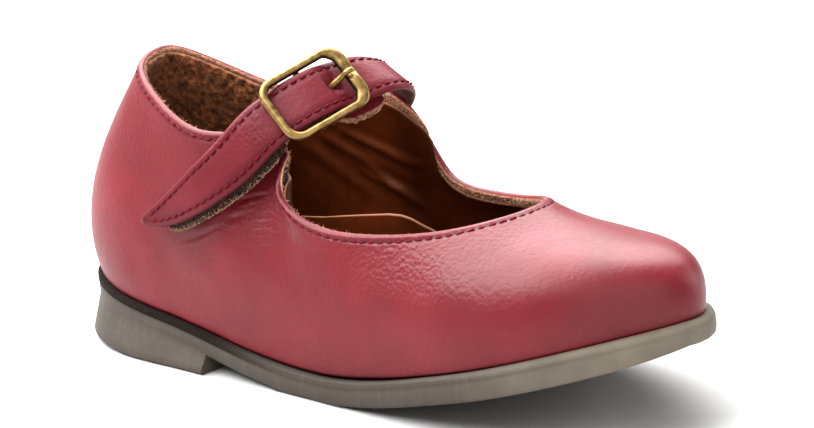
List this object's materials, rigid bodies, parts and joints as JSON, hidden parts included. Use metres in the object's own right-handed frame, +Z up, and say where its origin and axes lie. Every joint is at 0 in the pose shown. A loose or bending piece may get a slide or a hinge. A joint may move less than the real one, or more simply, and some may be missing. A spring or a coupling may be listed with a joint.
{
  "type": "mary jane shoe",
  "caption": "Child's leather mary jane shoe for the right foot with a buckled strap, a hook-and-loop tab and a low rubber heel.",
  "frame": {"origin": "on the floor under the middle of the heel base", "axes": "+X towards the toe, +Y towards the inner (medial) side, +Z up"},
  "size_m": [0.149, 0.0563, 0.0645],
  "materials": {
    "sole_rubber": "matt",
    "insole_leather": "matt",
    "upper_leather": "satin",
    "hook_and_loop": "matt",
    "buckle_brass": "satin"
  },
  "bodies": {
    "root": {"outsole": "sole_rubber", "insole": "insole_leather", "upper": "upper_leather", "strap": "upper_leather", "hook_patch": "hook_and_loop", "loop_patch": "hook_and_loop", "buckle_frame": "buckle_brass", "buckle_prong": "buckle_brass"}
  },
  "joints": []
}
